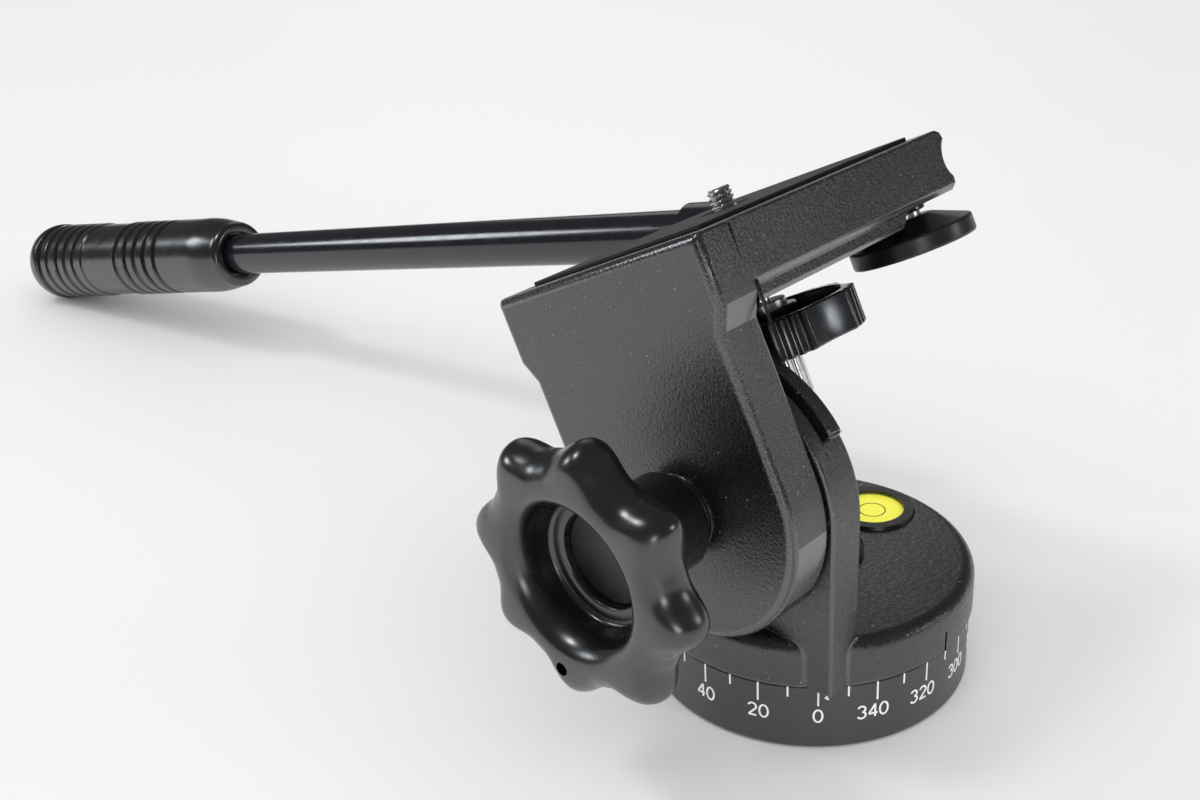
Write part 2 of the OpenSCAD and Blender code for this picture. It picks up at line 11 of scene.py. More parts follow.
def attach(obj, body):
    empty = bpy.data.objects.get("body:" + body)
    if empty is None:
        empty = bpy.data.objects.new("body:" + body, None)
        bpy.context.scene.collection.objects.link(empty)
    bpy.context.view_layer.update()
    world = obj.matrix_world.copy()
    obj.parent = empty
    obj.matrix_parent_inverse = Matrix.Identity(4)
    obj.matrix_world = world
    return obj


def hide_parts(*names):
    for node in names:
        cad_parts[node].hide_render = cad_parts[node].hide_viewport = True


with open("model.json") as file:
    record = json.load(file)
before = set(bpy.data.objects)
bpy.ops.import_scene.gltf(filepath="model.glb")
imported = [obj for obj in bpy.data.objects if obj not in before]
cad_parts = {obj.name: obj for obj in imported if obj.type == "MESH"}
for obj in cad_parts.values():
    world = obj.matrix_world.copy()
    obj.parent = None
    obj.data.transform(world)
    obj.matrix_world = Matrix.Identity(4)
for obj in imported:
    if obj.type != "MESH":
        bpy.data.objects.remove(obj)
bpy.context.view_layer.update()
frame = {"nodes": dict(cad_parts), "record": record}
NODES = frame["nodes"]

# sizes in millimetres, the main ones as in the part's source
MM = 0.001
TAU = 2 * math.pi
BASE_R, BASE_H = 42.0, 18.6
HOUSING_R, HOUSING_TOP = 42.7, 31.2
LEVEL_X, LEVEL_Y, VIAL_R = 1.75, 27.6, 8.5
TILT_X, TILT_Z, TILT_REST = -1.5, 64.1, math.radians(25.4)
CHEEK_FRONT = -48.2
STUD_Y, STUD_R, PITCH = 2.3, 3.175, 1.27
# star knob: its front, outline, cup, collar and drilled hole
STAR_LOW, STAR_R, STAR_WAVE, STAR_T = -85.8, 32.5, 4.5, 13.0
STAR_TURN, LOBES, LOBE_POWER = math.radians(-5), 8, 1.56
CUP_R, CUP_STEP_R, CUP_STEP, CUP_DEEP = 16.0, 11.5, 11.2, 14.0
COLLAR_R, KNOB_BORE = 12.0, 8.03
HOLE_AT, HOLE_R, HOLE_TURN = 24.3, 1.7, STAR_TURN - math.radians(93)
# camera screw: wheel with scooped sides and grooves, fluted stem, thread
WHEEL_R, WHEEL_LOW, WHEEL_T = 23.2, 22.4, 10.0
WHEEL_SIDES, WHEEL_TURN, SCOOP_R, SCOOP_DEEP = 6, -36.5, 30, 2
RIB_APART, RIB_DEEP, RIB_HALF = 7, 0.85, 0.75
STEM_R, STEM_LOW, FLANGE_R, FLANGE_LOW, FLANGE_TOP = 5.2, 9.5, 6.4, 33.2, 35.2
FLUTES, FLUTE_DEEP = 14, 0.42
THREAD_LOW, THREAD_TOP, THREAD_DEEP = 60.5, 65.9, 0.62
# handle: where it starts and points, grip, grooves, sunk band, tube
SOCKET_AT, HANDLE_PITCH, HANDLE_YAW = np.array([-40, 53.51, 49.02]), math.radians(13.85), math.radians(6.61)
GRIP_FROM, GRIP_LEN, CAP_LEN, GRIP_R, NECK_R = 246.0, 144.0, 14.0, 16.6, 15.2
GROOVE_STEP, GROOVE_DEEP, GROOVES = 7.0, 1.5, 5
BAND_FROM, BAND_TO, BAND_DEEP = 70, 95, 0.55
TUBE_R, TUBE_WALL, TUBE_FROM, TUBE_TO = 8.0, 1.3, 3.0, 343.0
# degree scale
SCALE_ZERO, TICK_W, LONG_TICK, SHORT_TICK = math.radians(-50.3), 0.45, 5.4, 3.0
NUMBER_DOWN, NUMBER_H, NUMBER_W = 6.6, 3.7, 0.5


def unit(v):
    """The direction of v, one long."""
    return np.asarray(v, float) / np.linalg.norm(v)


def from_platform(p):
    """Platform frame (a, y, h) to the row frame: x = a cos - h sin, z = a sin + h cos about the tilt axis."""
    p = np.asarray(p, float)
    c, s = math.cos(TILT_REST), math.sin(TILT_REST)
    return np.stack([TILT_X + p[..., 0] * c - p[..., 2] * s, p[..., 1],
                     TILT_Z + p[..., 0] * s + p[..., 2] * c], -1)


def turn_platform(v):
    """A direction in the platform frame, turned into the row frame."""
    return from_platform(v) - from_platform([0, 0, 0])


# an axis is (origin, direction along it, direction of angle 0, direction of angle 90)
PAN_AXIS = (np.zeros(3), np.array([0, 0, 1.0]), np.array([1.0, 0, 0]), np.array([0, 1.0, 0]))
LEVEL_AXIS = (np.array([LEVEL_X, LEVEL_Y, 0]),) + PAN_AXIS[1:]
KNOB_AXIS = (np.array([TILT_X, 0, TILT_Z]), np.array([0, 1.0, 0]), np.array([1.0, 0, 0]), np.array([0, 0, 1.0]))
STUD_AXIS = (from_platform([0, STUD_Y, 0]), turn_platform([0, 0, 1]), turn_platform([1, 0, 0]), np.array([0, 1.0, 0]))
HANDLE_RUN = unit(turn_platform([-math.cos(HANDLE_PITCH) * math.cos(HANDLE_YAW),
                                 -math.cos(HANDLE_PITCH) * math.sin(HANDLE_YAW), math.sin(HANDLE_PITCH)]))
HANDLE_SIDE = unit(np.cross([0, 0, 1], HANDLE_RUN))
HANDLE_AXIS = (from_platform(SOCKET_AT), HANDLE_RUN, HANDLE_SIDE, np.cross(HANDLE_RUN, HANDLE_SIDE))


def on_axis(axis, r, angle, z):
    """Point at radius r, angle and height z about an axis: origin + z along + r (cos e0 + sin e1)."""
    o, along, e0, e1 = axis
    r, angle, z = np.broadcast_arrays(np.asarray(r, float), angle, z)
    round_it = np.cos(angle)[..., None] * e0 + np.sin(angle)[..., None] * e1
    return o + z[..., None] * along + r[..., None] * round_it


def full_turn(steps):
    """Equal angles once round, the last one short of the first."""
    return np.linspace(0, TAU, steps, endpoint=False)


def grid_faces(rows, cols, close_rows, close_cols):
    """Quads between neighbours of a rows x cols grid, wrapped round where that direction is closed."""
    i = np.arange(rows if close_rows else rows - 1)
    j = np.arange(cols if close_cols else cols - 1)
    i, j = (a.ravel() for a in np.meshgrid(i, j, indexing="ij"))
    i1, j1 = (i + 1) % rows, (j + 1) % cols
    return np.stack([i * cols + j, i1 * cols + j, i1 * cols + j1, i * cols + j1], 1)


def make_piece(name, grids, body, finish, sharp=32):
    """One mesh from grids of points in mm, each (points, close_rows, close_cols); doubles merged, faces outwards."""
    points, faces, start = [], [], 0
    for pts, close_rows, close_cols in grids:
        faces.append(grid_faces(pts.shape[0], pts.shape[1], close_rows, close_cols) + start)
        points.append(pts.reshape(-1, 3) * MM)
        start += pts.shape[0] * pts.shape[1]
    mesh = bpy.data.meshes.new(name)
    mesh.from_pydata(np.concatenate(points), [], np.concatenate(faces).tolist())
    bm = bmesh.new()
    bm.from_mesh(mesh)
    bmesh.ops.remove_doubles(bm, verts=bm.verts, dist=2e-7)
    bmesh.ops.dissolve_degenerate(bm, edges=bm.edges, dist=1e-8)
    bmesh.ops.recalc_face_normals(bm, faces=bm.faces)
    bm.to_mesh(mesh)
    bm.free()
    mesh.polygons.foreach_set("use_smooth", np.ones(len(mesh.polygons), bool))
    mesh.set_sharp_from_angle(angle=math.radians(sharp))
    mesh.materials.append(finish)
    piece = bpy.data.objects.new(name, mesh)
    bpy.context.scene.collection.objects.link(piece)
    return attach(piece, body)


def turned(axis, profile, steps=96):
    """Surface of revolution: each (r, z) of the profile carried round the axis."""
    profile = np.asarray(profile, float)
    angle = full_turn(steps)
    return on_axis(axis, profile[:, :1], angle[None, :], profile[:, 1:2]), False, True


def arc(centre, radius, start, end, n=8):
    """Points of a circle arc in (r, z) from one angle to another, in degrees."""
    t = np.radians(np.linspace(start, end, n))
    return np.stack([centre[0] + radius * np.cos(t), centre[1] + radius * np.sin(t)], 1)


def edge_room(edge):
    """Smallest width of an edge's two faces, measured across the edge."""
    a, b = edge.verts[0].co, edge.verts[1].co
    along = (b - a).normalized()

    def across(vert):
        reach = vert.co - a
        return (reach - along * reach.dot(along)).length

    return min(max(across(v) for v in face.verts) for face in edge.link_faces)


# edges over HARD_EDGE are rounded, faces within FLAT are joined; shares are of the room beside an edge
HARD_EDGE, FLAT, SHARP = math.radians(30), math.radians(0.6), math.radians(32)
EDGE_SHARE, STRIP_SHARE, SAME_WAY = 0.42, 0.15, 0.99


def round_copy(node, name, width, finish, edge_finish=None, strips=(), strip_reflection_finish=None, least=0.0):
    """The node's own shape with its hard edges rounded: merged copy, flat faces joined, bevel on the hard edges.

    An edge's bevel is at most a share of the room on its faces. Faces that look along one of the strips' directions
    get the strip finish, here a lighter paint that stands in for a reflection, and narrow bevels; steps lower than
    least (mm) stay sharp."""
    piece = NODES[node].copy()
    piece.data = NODES[node].data.copy()
    piece.name, mesh = name, piece.data
    mesh.materials.clear()
    for key in list(piece.keys()):
        del piece[key]
    bpy.context.scene.collection.objects.link(piece)
    piece.parent = None
    bm = bmesh.new()
    bm.from_mesh(mesh)
    bmesh.ops.remove_doubles(bm, verts=bm.verts, dist=2e-6)
    bmesh.ops.dissolve_limit(bm, angle_limit=FLAT, verts=bm.verts, edges=bm.edges)
    for face in bm.faces:
        face.material_index = 2 if any(face.normal.dot(way) > SAME_WAY for way in strips) else 0
    weight = bm.edges.layers.float.new("bevel_weight_edge")
    for edge in bm.edges:
        if len(edge.link_faces) == 2 and edge.calc_face_angle() > HARD_EDGE:
            room = edge_room(edge)
            share = STRIP_SHARE if any(face.material_index for face in edge.link_faces) else EDGE_SHARE
            edge[weight] = min(1.0, share * room / (width * MM)) if room > least * MM else 0.0
    bm.to_mesh(mesh)
    bm.free()
    if mesh.has_custom_normals:
        with bpy.context.temp_override(object=piece, active_object=piece):
            bpy.ops.mesh.customdata_custom_splitnormals_clear()
    mesh.polygons.foreach_set("use_smooth", np.ones(len(mesh.polygons), bool))
    mesh.set_sharp_from_angle(angle=SHARP)
    mesh.materials.append(finish)
    bevel = piece.modifiers.new("round", "BEVEL")
    bevel.width, bevel.segments, bevel.limit_method = width * MM, 3, "WEIGHT"
    bevel.use_clamp_overlap, bevel.harden_normals = False, False
    if edge_finish:
        mesh.materials.append(edge_finish)
        bevel.material = 1
    if strip_reflection_finish:
        mesh.materials.append(strip_reflection_finish)
    return piece


# finishes
def new_finish(name, colour, rough, metal=0.0, specular=0.5, index=1.9):
    """A finish with plain values on the shader's own sockets; returns (material, node tree, shader)."""
    mat = bpy.data.materials.new(name)
    mat.use_nodes = True
    shader = mat.node_tree.nodes["Principled BSDF"]
    shader.inputs["Base Color"].default_value = (*colour, 1)
    shader.inputs["Roughness"].default_value = rough
    shader.inputs["Metallic"].default_value = metal
    shader.inputs["Specular IOR Level"].default_value = specular
    shader.inputs["IOR"].default_value = index
    return mat, mat.node_tree, shader


def link(tree, a, b):
    """Joins an output socket to an input socket."""
    tree.links.new(a, b)


def object_coords(tree):
    """The piece's own coordinates, in metres."""
    return tree.nodes.new("ShaderNodeTexCoord").outputs["Object"]


def noise(tree, scale, detail=3.0, rough=0.55):
    """Noise on Object coordinates, scale in cycles a metre."""
    node = tree.nodes.new("ShaderNodeTexNoise")
    node.inputs["Scale"].default_value = scale
    node.inputs["Detail"].default_value = detail
    node.inputs["Roughness"].default_value = rough
    link(tree, object_coords(tree), node.inputs["Vector"])
    return node.outputs["Fac"]


def cells(tree, scale, feature="F1"):
    """Voronoi distance on Object coordinates, scale in cells a metre."""
    node = tree.nodes.new("ShaderNodeTexVoronoi")
    node.feature = feature
    node.inputs["Scale"].default_value = scale
    link(tree, object_coords(tree), node.inputs["Vector"])
    return node.outputs["Distance"]


def spread(tree, value, low, high, out_low, out_high):
    """Map Range from low..high to out_low..out_high, clamped."""
    node = tree.nodes.new("ShaderNodeMapRange")
    for key, v in (("From Min", low), ("From Max", high), ("To Min", out_low), ("To Max", out_high)):
        node.inputs[key].default_value = v
    link(tree, value, node.inputs["Value"])
    return node.outputs["Result"]


def combine(tree, kind, a, b):
    """Math node on two sockets, or a socket and a number."""
    node = tree.nodes.new("ShaderNodeMath")
    node.operation = kind
    for value, socket in ((a, node.inputs[0]), (b, node.inputs[1])):
        if isinstance(value, (int, float)):
            socket.default_value = value
        else:
            link(tree, value, socket)
    return node.outputs[0]


def tint(tree, value, low_colour, high_colour, low=0.0, high=1.0):
    """Colour ramp between two colours."""
    node = tree.nodes.new("ShaderNodeValToRGB")
    ends = node.color_ramp.elements
    ends[0].position, ends[0].color = low, (*low_colour, 1)
    ends[1].position, ends[1].color = high, (*high_colour, 1)
    link(tree, value, node.inputs["Fac"])
    return node.outputs["Color"]


def raise_surface(tree, shader, height, depth, strength=1.0):
    """Bump of the given depth in mm."""
    node = tree.nodes.new("ShaderNodeBump")
    node.inputs["Strength"].default_value = strength
    node.inputs["Distance"].default_value = depth * MM
    link(tree, height, node.inputs["Height"])
    link(tree, node.outputs["Normal"], shader.inputs["Normal"])


def height_mask(tree, low, high):
    """0 below the height low (mm), 1 above high, along the row's Z."""
    node = tree.nodes.new("ShaderNodeSeparateXYZ")
    link(tree, object_coords(tree), node.inputs["Vector"])
    return spread(tree, node.outputs["Z"], low * MM, high * MM, 0, 1)


def wrinkle_paint(name, rough, depth, scale, specks, smooth_below=None):
    """Black wrinkle paint: folds from noise and cells, sparkling specks, smooth paint below a height if given."""
    mat, tree, shader = new_finish(name, (0.005, 0.005, 0.006), rough)
    folds = combine(tree, "ADD", combine(tree, "MULTIPLY", noise(tree, scale, 5, 0.6), 0.8),
                    combine(tree, "MULTIPLY", cells(tree, scale * 0.9, "SMOOTH_F1"), 0.35))
    if smooth_below:
        folds = combine(tree, "MULTIPLY", folds, height_mask(tree, *smooth_below))
    raise_surface(tree, shader, folds, depth, 1.0)
    dots = spread(tree, cells(tree, specks), 0.06, 0.10, 1, 0)
    some = spread(tree, noise(tree, specks * 0.6, 1), 0.52, 0.60, 0, 1)
    dust = combine(tree, "MULTIPLY", dots, some)
    cloud = spread(tree, noise(tree, 40, 3), 0.3, 0.7, 0.0, 0.012)
    link(tree, tint(tree, combine(tree, "ADD", dust, cloud), (0.004, 0.004, 0.005), (0.42, 0.43, 0.45)),
         shader.inputs["Base Color"])
    gloss = spread(tree, noise(tree, scale * 1.6, 2), 0.32, 0.68, rough - 0.12, rough + 0.12)
    link(tree, gloss, shader.inputs["Roughness"])
    return mat


def worn_edge(name):
    """Paint rubbed shiny on the edges, with a few pale specks."""
    mat, tree, shader = new_finish(name, (0.008, 0.008, 0.009), 0.24, index=2.2)
    rub = spread(tree, noise(tree, 1500, 4, 0.7), 0.60, 0.74, 0, 1)
    link(tree, tint(tree, rub, (0.006, 0.006, 0.007), (0.22, 0.22, 0.23)), shader.inputs["Base Color"])
    link(tree, spread(tree, noise(tree, 1400, 2), 0.3, 0.7, 0.16, 0.32), shader.inputs["Roughness"])
    raise_surface(tree, shader, noise(tree, 1300, 3), 0.12, 0.8)
    return mat


def satin(name, colour, rough, grain=0.012, dust=0.0, index=1.9):
    """Smooth satin surface: faint clouding, fine grain in the gloss, a little dust."""
    mat, tree, shader = new_finish(name, colour, rough, index=index)
    cloud = spread(tree, noise(tree, 60, 4), 0.3, 0.7, 0.0, 0.25)
    if dust:
        spots = spread(tree, cells(tree, 260), 0.035, 0.06, dust, 0)
        rare = spread(tree, noise(tree, 170, 1), 0.62, 0.66, 0, 1)
        cloud = combine(tree, "ADD", cloud, combine(tree, "MULTIPLY", spots, rare))
    light = tuple(min(1.0, c * 1.8 + 0.004) for c in colour)
    link(tree, tint(tree, cloud, colour, light), shader.inputs["Base Color"])
    link(tree, spread(tree, noise(tree, 220, 4), 0.3, 0.7, rough - 0.04, rough + 0.05), shader.inputs["Roughness"])
    raise_surface(tree, shader, noise(tree, 1800, 2), grain, 0.6)
    return mat


def zinc(name, colour, rough):
    """Plated metal: fine streaks from machining and cloudy gloss."""
    mat, tree, shader = new_finish(name, colour, rough, 1.0)
    streak = noise(tree, 500, 3, 0.6)
    dark = tuple(c * 0.8 for c in colour)
    link(tree, tint(tree, streak, dark, colour, 0.3, 0.65), shader.inputs["Base Color"])
    link(tree, spread(tree, streak, 0.3, 0.7, rough + 0.1, rough - 0.05), shader.inputs["Roughness"])
    raise_surface(tree, shader, streak, 0.015, 0.5)
    return mat


def printed(name, colour):
    """Flat ink with slightly broken cover."""
    mat, tree, shader = new_finish(name, colour, 0.5, index=1.5)
    worn = spread(tree, noise(tree, 700, 3), 0.25, 0.4, 0.0, 1)
    link(tree, tint(tree, worn, tuple(c * 0.75 for c in colour), colour), shader.inputs["Base Color"])
    return mat


HOUSING_PAINT = wrinkle_paint("housing_paint", 0.34, 0.16, 700, 520, (27.8, 29.4))
CASTING_PAINT = wrinkle_paint("casting_paint", 0.26, 0.15, 1350, 620)
EDGE_PAINT = worn_edge("worn_edge_paint")
BASE_SATIN = satin("scale_ring_satin", (0.007, 0.007, 0.0075), 0.36, 0.01)
KNOB_PLASTIC = satin("star_knob_plastic", (0.004, 0.004, 0.0045), 0.25, 0.002, 0.5)
DISC_PLASTIC = satin("recess_disc_plastic", (0.003, 0.003, 0.003), 0.35, 0.002, index=1.6)
WHEEL_PLASTIC = satin("wheel_plastic", (0.004, 0.004, 0.006), 0.2, 0.002)
# lighter paint for the down-facing strips under the platform's side and the cheek's top: a painted reflection of the
# bright table
STRIP_REFLECTION_PAINT = satin("strip_painted_reflection", (0.07, 0.069, 0.067), 0.24, 0.04, index=2.2)
CLAMP_PLASTIC = satin("clamp_knob_plastic", (0.004, 0.004, 0.004), 0.34, 0.01, index=1.6)
TUBE_BLACK = satin("tube_anodised", (0.005, 0.005, 0.009), 0.17, 0.002, index=1.7)
GRIP_RUBBER = satin("grip_rubber", (0.005, 0.005, 0.005), 0.22, 0.003)
PAD_RUBBER = satin("pad_rubber", (0.008, 0.008, 0.008), 0.6, 0.08, index=1.5)
BEZEL_PLASTIC = satin("bezel_plastic", (0.003, 0.003, 0.003), 0.3, index=1.5)
ZINC = zinc("zinc_plate", (0.74, 0.74, 0.72), 0.22)
STEEL = zinc("turned_steel", (0.55, 0.55, 0.57), 0.3)
BRASS = zinc("turned_brass", (0.70, 0.52, 0.22), 0.3)
ALUMINIUM = zinc("turned_aluminium", (0.62, 0.62, 0.64), 0.34)
GLIDE = satin("glide_ring_plastic", (0.30, 0.21, 0.11), 0.4)
FIBRE = satin("friction_fibre", (0.09, 0.06, 0.04), 0.75, 0.05)
WHITE_INK = printed("white_ink", (0.86, 0.86, 0.84))
# matt black: print for the housing's index line and the level's circle, and painted shade in the lobe's hole
BLACK_INK_AND_HOLE_SHADE = new_finish("black_ink_and_hole_shade", (0.001, 0.001, 0.001), 1.0, specular=0.0)[0]
VIAL = satin("vial_liquid", (0.97, 0.93, 0.035), 0.25, 0.0, index=1.4)
# the liquid is given a faint glow of its own: painted light standing in for the light the vial gathers
vial_glow_shader = VIAL.node_tree.nodes["Principled BSDF"]
vial_glow_shader.inputs["Emission Color"].default_value = (0.95, 0.9, 0.04, 1)
vial_glow_shader.inputs["Emission Strength"].default_value = 0.3
WINDOW = new_finish("vial_window", (0.95, 1.0, 0.6), 0.05, index=1.45)[0]
WINDOW.node_tree.nodes["Principled BSDF"].inputs["Alpha"].default_value = 0.06
FINISHES = {
    "scale_base": BASE_SATIN, "glide_ring": GLIDE, "pan_spindle": STEEL, "tripod_bush": BRASS,
    "spindle_screws": ZINC, "pan_stator": ALUMINIUM, "pan_washer": ZINC, "pan_nut": ZINC,
    "pan_housing": HOUSING_PAINT, "pan_rotor": ALUMINIUM, "hub_cap": CASTING_PAINT, "level_bezel": BEZEL_PLASTIC,
    "level_vial": VIAL, "level_window": WINDOW, "index_mark": WHITE_INK, "tilt_shaft": STEEL, "tilt_washer": ZINC,
    "tilt_nut": ZINC, "tilt_disc": FIBRE, "tilt_casting": CASTING_PAINT, "tilt_bush": BRASS,
    "platform_pad": PAD_RUBBER, "stud_keeper": ZINC, "camera_stud": ZINC, "camera_wheel": WHEEL_PLASTIC,
    "star_knob": KNOB_PLASTIC, "knob_insert": BRASS, "knob_disc": DISC_PLASTIC, "thrust_washer": ZINC,
    "clamp_knob": CLAMP_PLASTIC, "clamp_screw": ZINC, "clamp_washer": ZINC, "handle_arm": TUBE_BLACK,
    "handle_tube": TUBE_BLACK, "handle_pin": ZINC, "handle_grip": GRIP_RUBBER, "grip_cap": GRIP_RUBBER,
}
for node, finish in FINISHES.items():
    NODES[node].data.materials.clear()
    NODES[node].data.materials.append(finish)


# scale ring: strokes laid round the cylinder
def wrapped(radius, along, up):
    """Flat (mm along the rim, mm up) to a cylinder about the pan axis; along runs counter-clockwise."""
    return on_axis(PAN_AXIS, radius, np.asarray(along) / radius, np.asarray(up))


def stroke(path, width, radius, centre_angle, thick=0.12):
    """A rectangular section carried along a flat path and bent round the cylinder: path + normal * half width."""
    path = np.asarray(path, float)
    way = np.gradient(path, axis=0)
    way /= np.linalg.norm(way, axis=1, keepdims=True)
    side = np.stack([-way[:, 1], way[:, 0]], 1) * width / 2
    left, right = path + side, path - side
    shift = centre_angle * radius
    lift, low = radius + thick / 2, radius - thick / 2
    ring = [wrapped(r, (p[:, 0] + shift) * r / radius, p[:, 1]) for r, p in
            ((lift, left), (lift, right), (low, right), (low, left))]
    rows = np.stack(ring, 1)
    ends = [np.repeat(rows[k:k + 1].mean(1, keepdims=True), 4, 1) for k in (0, -1)]
    return np.concatenate([ends[0], rows, ends[1]]), False, True


def oval(cx, cy, rx, ry, start, end, n):
    """Ellipse arc in flat coordinates, degrees counter-clockwise."""
    t = np.radians(np.linspace(start, end, n))
    return np.stack([cx + rx * np.cos(t), cy + ry * np.sin(t)], 1)


def line(*points, n=5):
    """Straight runs through the points, n points each."""
    pts = np.asarray(points, float)
    t = np.linspace(0, 1, n)[:, None]
    return np.concatenate([a + (b - a) * t for a, b in zip(pts[:-1], pts[1:])])


def digit(d):
    """Centre lines of a numeral in a box 0.62 wide and 1 high."""
    return {
        "0": [oval(0.31, 0.5, 0.29, 0.48, 90, 450, 36)],
        "1": [line((0.12, 0.80), (0.34, 0.98)), line((0.34, 1.0), (0.34, 0.0))],
        "2": [np.concatenate([oval(0.31, 0.71, 0.27, 0.27, 165, -35, 20), line((0.50, 0.53), (0.05, 0.02), n=8)]),
              line((0.03, 0.03), (0.60, 0.03))],
        "3": [oval(0.30, 0.74, 0.25, 0.24, 160, -80, 18), oval(0.30, 0.27, 0.28, 0.26, 85, -160, 20)],
        "4": [line((0.45, 1.0), (0.03, 0.30)), line((0.0, 0.28), (0.64, 0.28)), line((0.46, 1.02), (0.46, 0.0))],
        "6": [oval(0.31, 0.31, 0.28, 0.30, 90, 450, 30), oval(0.52, 0.42, 0.49, 0.56, 105, 185, 14)],
        "8": [oval(0.31, 0.74, 0.23, 0.24, 90, 450, 26), oval(0.31, 0.26, 0.28, 0.26, 90, 450, 28)],
    }[d]


def numeral(text, angle, top, height, width, radius):
    """Digits side by side, centred on an angle of the rim."""
    step = 0.78 * height
    grids = []
    for k, d in enumerate(text):
        left = (k - len(text) / 2) * step + 0.08 * height
        for path in digit(d):
            grids.append(stroke(path * height + [left, top - height], width, radius, angle))
    return grids


scale_marks = []
for tens in range(36):
    angle = SCALE_ZERO - math.radians(10 * tens)
    numbered = tens % 2 == 0
    length = LONG_TICK if numbered else SHORT_TICK
    scale_marks.append(stroke(line((0, BASE_H - 0.1), (0, BASE_H - length)), TICK_W, BASE_R, angle))
    if numbered:
        centre = angle - (0.025 if tens > 9 else 0)
        scale_marks += numeral(str(tens * 10), centre, BASE_H - NUMBER_DOWN, NUMBER_H, NUMBER_W, BASE_R)
make_piece("scale_marks", scale_marks, "base", WHITE_INK)
index_line = stroke(line((0, 19.3), (0, 24.8)), 0.5, HOUSING_R, math.radians(-2))
make_piece("housing_line", [index_line], "turntable", BLACK_INK_AND_HOLE_SHADE)

# castings with rounded, rubbed edges
housing = round_copy("pan_housing", "housing_cast", 0.7, HOUSING_PAINT, EDGE_PAINT)
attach(housing, "turntable")
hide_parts("pan_housing")
# where the bevel under the platform's side and the slope under the cheek's wide top face; these down-facing faces get
# the lighter strip paint, a painted reflection of the table
SMOOTH_SLOPES = [Vector(unit(turn_platform([side * a, 0, -h]))) for side in (1, -1) for a, h in ((1, 1), (5.7, 3.2))]
casting = round_copy("tilt_casting", "cheek_and_platform", 0.8, CASTING_PAINT, EDGE_PAINT, SMOOTH_SLOPES, STRIP_REFLECTION_PAINT,
                     least=1.2)
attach(casting, "tilt_head")
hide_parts("tilt_casting")
for node, name, width, finish in (
        ("scale_base", "scale_ring", 0.5, BASE_SATIN), ("clamp_knob", "clamp_fan", 0.7, CLAMP_PLASTIC),
        ("handle_arm", "strap_arm", 0.35, TUBE_BLACK), ("platform_pad", "pad_sheet", 0.25, PAD_RUBBER)):
    copy = round_copy(node, name, width, finish)
    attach(copy, next(b for b, ns in frame["record"]["behaviour"]["bodies"].items() if node in ns))
    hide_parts(node)


# level
DOME_R, DOME_LOW, DOME_EDGE, DOME_RISE = VIAL_R - 0.05, HOUSING_TOP - 0.15, HOUSING_TOP + 0.35, 0.35
inwards = np.linspace(0, 1, 14)
dome = np.concatenate([[[0, DOME_LOW], [DOME_R, DOME_LOW]],
                       np.stack([DOME_R * (1 - inwards), DOME_EDGE + DOME_RISE * inwards ** 0.5], 1)])
window = make_piece("level_dome", [turned(LEVEL_AXIS, dome)], "turntable", WINDOW)
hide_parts("level_window")
HOOP_IN, HOOP_OUT, HOOP_LOW, HOOP_TOP = 3.4, 3.7, HOUSING_TOP - 0.22, HOUSING_TOP - 0.16
hoop = [[HOOP_IN, HOOP_LOW], [HOOP_IN, HOOP_TOP], [HOOP_OUT, HOOP_TOP], [HOOP_OUT, HOOP_LOW], [HOOP_IN, HOOP_LOW]]
make_piece("level_circle", [turned(LEVEL_AXIS, hoop)], "turntable", BLACK_INK_AND_HOLE_SHADE)


# star knob
def star_radius(angle):
    """Wavy outline: least radius plus the wave times half of (1 + cos), raised to a power for narrow lobes."""
    return STAR_R - STAR_WAVE + STAR_WAVE * (0.5 + 0.5 * np.cos(LOBES * (angle - STAR_TURN))) ** LOBE_POWER


def star_surface(steps=320):
    """Section carried round the axis: cup, lip (a quarter ellipse), rim of two quarter ellipses that follow the lobes,
    back and collar."""
    angle = full_turn(steps)
    back_y, crest = STAR_LOW + STAR_T, STAR_LOW + 7.4
    outer = star_radius(angle)[None, :]
    step_y, floor_y = STAR_LOW + CUP_STEP, STAR_LOW + CUP_DEEP
    lip_wide, lip_deep, fillet = 5.0, 8.0, 1.6
    lip = arc((0, 0), 1, 180, 264, 16) * [lip_wide, lip_deep] + [CUP_R + lip_wide, STAR_LOW + lip_deep]
    inner = np.concatenate([[[KNOB_BORE, floor_y], [CUP_STEP_R, floor_y], [CUP_STEP_R, step_y + 0.4],
                             [CUP_STEP_R + 0.4, step_y]],
                            arc((CUP_R - fillet - 0.2, step_y - fillet), fillet, 90, 0, 8), lip])
    # widths of the rim before and behind its crest, and its depths there
    front, rear, near, far = 6.8, 6.0, 7.3, back_y - crest
    t = np.radians(np.linspace(83, 0, 20))[:, None]
    u = np.radians(np.linspace(5, 88, 16))[:, None]
    rim_r = np.concatenate([outer - front + front * np.cos(t), outer - rear + rear * np.cos(u)])
    rim_y = np.concatenate([crest - near * np.sin(t), crest + far * np.sin(u)])
    back = np.concatenate([arc((14.5, back_y + 2.4), 2.5, 268, 180, 6),
                           [[COLLAR_R, CHEEK_FRONT - 4.2], [COLLAR_R - 0.8, CHEEK_FRONT - 2.6],
                            [COLLAR_R - 2.8, CHEEK_FRONT - 0.65], [KNOB_BORE, CHEEK_FRONT - 0.65]]])
    r = np.concatenate([np.repeat(inner[:, :1], steps, 1), rim_r, np.repeat(back[:, :1], steps, 1)])
    y = np.repeat(np.concatenate([inner[:, 1:], rim_y, back[:, 1:]]), steps, 1)
    return on_axis(KNOB_AXIS, r, angle[None, :], y), True, True


